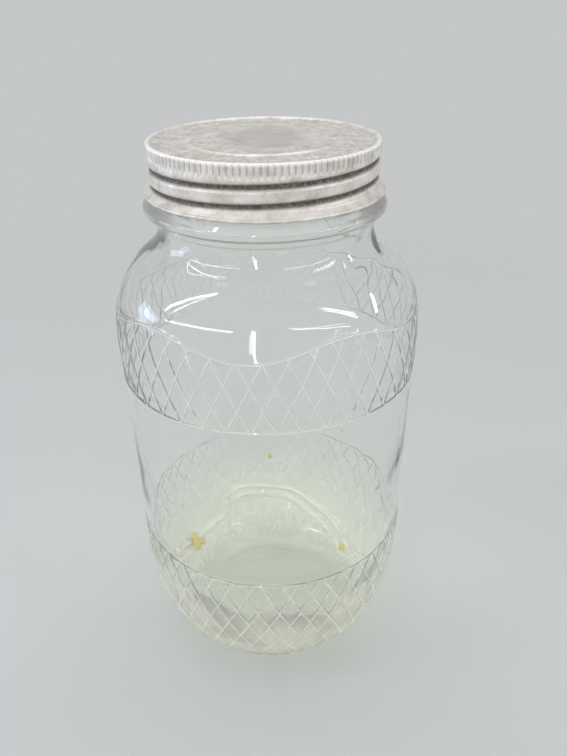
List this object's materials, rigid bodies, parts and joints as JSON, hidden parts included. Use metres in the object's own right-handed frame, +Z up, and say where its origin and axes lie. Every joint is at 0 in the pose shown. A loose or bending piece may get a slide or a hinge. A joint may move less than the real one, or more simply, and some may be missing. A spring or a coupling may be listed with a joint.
{
  "type": "canning jar",
  "caption": "Empty clear glass canning jar with diamond lattice bands on shoulder and heel, a plain middle and a ribbed metal screw cap.",
  "frame": {"origin": "centre of the jar's base, in the plane that it stands on", "axes": "+Z up along the jar's axis; -Y faces the viewer"},
  "size_m": [0.125, 0.125, 0.235],
  "materials": {
    "glass": "clear, glossy, faintly green where it is thick",
    "cap_metal": "worn satin tinned sheet"
  },
  "bodies": {
    "root": {"jar": "glass", "cap": "cap_metal"}
  },
  "joints": []
}
